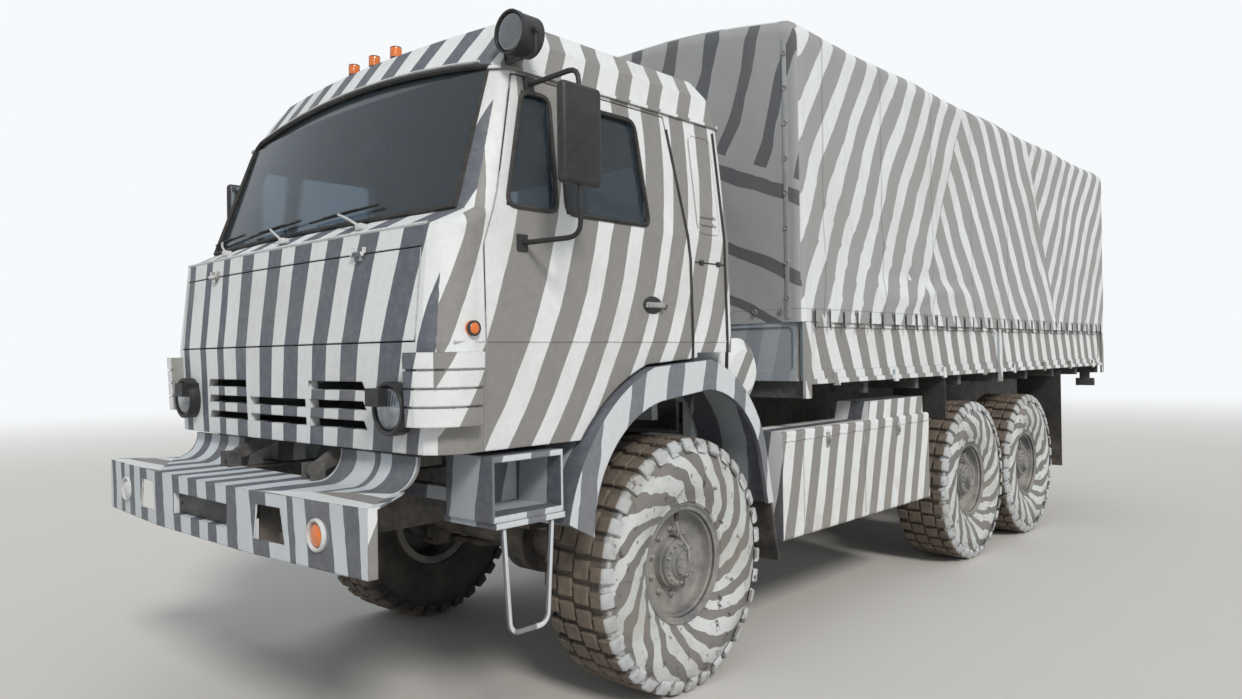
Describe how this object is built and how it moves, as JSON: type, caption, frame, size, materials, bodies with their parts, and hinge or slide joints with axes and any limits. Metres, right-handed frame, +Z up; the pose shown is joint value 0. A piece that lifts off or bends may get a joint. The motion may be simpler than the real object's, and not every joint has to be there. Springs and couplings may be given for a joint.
{
  "type": "military cargo truck",
  "caption": "Military cargo truck with a forward-tilting cab, canvas-covered cargo body, steered front wheels and a drop tailgate.",
  "frame": {"origin": "on the ground under the middle of the overall length and width", "axes": "front faces -Y, left side of the truck is +X, +Z is up"},
  "size_m": [2.95, 9.3, 3.7198],
  "materials": {
    "tyre_rubber": "matte",
    "wheel_paint": "matte",
    "chassis_paint": "matte",
    "engine_iron": "matte",
    "camouflage_paint": "matte",
    "window_glass": "gloss",
    "canvas": "matte",
    "floor_wood": "matte",
    "black_plastic": "matte",
    "seat_vinyl": "matte",
    "flap_rubber": "matte",
    "bow_paint": "matte"
  },
  "bodies": {
    "chassis": {"air_cleaner": "camouflage_paint", "body_posts": "camouflage_paint", "body_subframe": "chassis_paint", "cab_mounts": "chassis_paint", "canopy": "canvas", "canopy_bows": "bow_paint", "cargo_floor": "floor_wood", "cargo_sides": "camouflage_paint", "cross_members": "chassis_paint", "driveline": "engine_iron", "engine_block": "engine_iron", "frame_rails": "chassis_paint", "front_axle": "chassis_paint", "front_bumper": "camouflage_paint", "front_fenders": "camouflage_paint", "mudflaps": "flap_rubber", "muffler": "chassis_paint", "rear_axles": "chassis_paint", "rear_lamps": "black_plastic", "side_boxes": "camouflage_paint", "spare_rim": "wheel_paint", "spare_tyre": "tyre_rubber", "springs": "chassis_paint", "step_boxes": "camouflage_paint", "tow_couplings": "chassis_paint"},
    "cab": {"cab_front": "camouflage_paint", "cab_quarters": "camouflage_paint", "cab_rear_wall": "camouflage_paint", "cab_glass": "window_glass", "cab_roof": "camouflage_paint", "cab_floor": "camouflage_paint", "engine_cover": "seat_vinyl", "seats": "seat_vinyl", "dashboard": "black_plastic", "cab_lamps": "black_plastic"},
    "front_panel": {"front_panel": "camouflage_paint"},
    "door_left": {"door_left": "camouflage_paint", "door_glass_left": "window_glass", "mirror_left": "black_plastic"},
    "door_right": {"door_right": "camouflage_paint", "door_glass_right": "window_glass", "mirror_right": "black_plastic"},
    "knuckle_left": {"knuckle_left": "chassis_paint"},
    "knuckle_right": {"knuckle_right": "chassis_paint"},
    "tie_rod": {"tie_rod": "chassis_paint"},
    "tailgate": {"tailgate": "camouflage_paint"},
    "wheel_front_left": {"tyre_front_left": "tyre_rubber", "rim_front_left": "wheel_paint"},
    "wheel_front_right": {"tyre_front_right": "tyre_rubber", "rim_front_right": "wheel_paint"},
    "wheel_middle_left": {"tyre_middle_left": "tyre_rubber", "rim_middle_left": "wheel_paint"},
    "wheel_middle_right": {"tyre_middle_right": "tyre_rubber", "rim_middle_right": "wheel_paint"},
    "wheel_rear_left": {"tyre_rear_left": "tyre_rubber", "rim_rear_left": "wheel_paint"},
    "wheel_rear_right": {"tyre_rear_right": "tyre_rubber", "rim_rear_right": "wheel_paint"}
  },
  "joints": [
    {"name": "cab_tilt", "type": "hinge", "parent": "chassis", "child": "cab", "pos_m": [0, -4.33, 1.19], "axis": [1, 0, 0], "range_deg": [0, 50]},
    {"name": "door_left_hinge", "type": "hinge", "parent": "cab", "child": "door_left", "pos_m": [1.212, -4.047, 1.8], "axis": [0, 0, -1], "range_deg": [0, 70]},
    {"name": "door_right_hinge", "type": "hinge", "parent": "cab", "child": "door_right", "pos_m": [-1.212, -4.047, 1.8], "axis": [0, 0, 1], "range_deg": [0, 70]},
    {"name": "front_panel_hinge", "type": "hinge", "parent": "cab", "child": "front_panel", "pos_m": [0, -4.287, 2.087], "axis": [-1, 0, 0], "range_deg": [0, 80]},
    {"name": "tailgate_hinge", "type": "hinge", "parent": "chassis", "child": "tailgate", "pos_m": [0, 4.634, 1.495], "axis": [-1, 0, 0], "range_deg": [0, 170]},
    {"name": "steer_left", "type": "hinge", "parent": "chassis", "child": "knuckle_left", "pos_m": [0.895, -2.8, 0.625], "axis": [0, 0, 1], "range_deg": [-28, 28]},
    {"name": "steer_right", "type": "hinge", "parent": "chassis", "child": "knuckle_right", "pos_m": [-0.895, -2.8, 0.625], "axis": [0, 0, 1], "range_deg": [-28, 28]},
    {"name": "tie_rod_pivot", "type": "hinge", "parent": "knuckle_left", "child": "tie_rod", "pos_m": [0.895, -2.66, 0.474], "axis": [0, 0, 1], "range_deg": [-28, 28]},
    {"name": "roll_front_left", "type": "hinge", "parent": "knuckle_left", "child": "wheel_front_left", "pos_m": [1.025, -2.8, 0.625], "axis": [1, 0, 0], "continuous": true},
    {"name": "roll_front_right", "type": "hinge", "parent": "knuckle_right", "child": "wheel_front_right", "pos_m": [-1.025, -2.8, 0.625], "axis": [1, 0, 0], "continuous": true},
    {"name": "roll_middle_left", "type": "hinge", "parent": "chassis", "child": "wheel_middle_left", "pos_m": [1.025, 0.89, 0.625], "axis": [1, 0, 0], "continuous": true},
    {"name": "roll_middle_right", "type": "hinge", "parent": "chassis", "child": "wheel_middle_right", "pos_m": [-1.025, 0.89, 0.625], "axis": [1, 0, 0], "continuous": true},
    {"name": "roll_rear_left", "type": "hinge", "parent": "chassis", "child": "wheel_rear_left", "pos_m": [1.025, 2.21, 0.625], "axis": [1, 0, 0], "continuous": true},
    {"name": "roll_rear_right", "type": "hinge", "parent": "chassis", "child": "wheel_rear_right", "pos_m": [-1.025, 2.21, 0.625], "axis": [1, 0, 0], "continuous": true}
  ],
  "couplings": [
    {"joint": "steer_right", "follows": "steer_left", "ratio": 1},
    {"joint": "tie_rod_pivot", "follows": "steer_left", "ratio": -1}
  ]
}
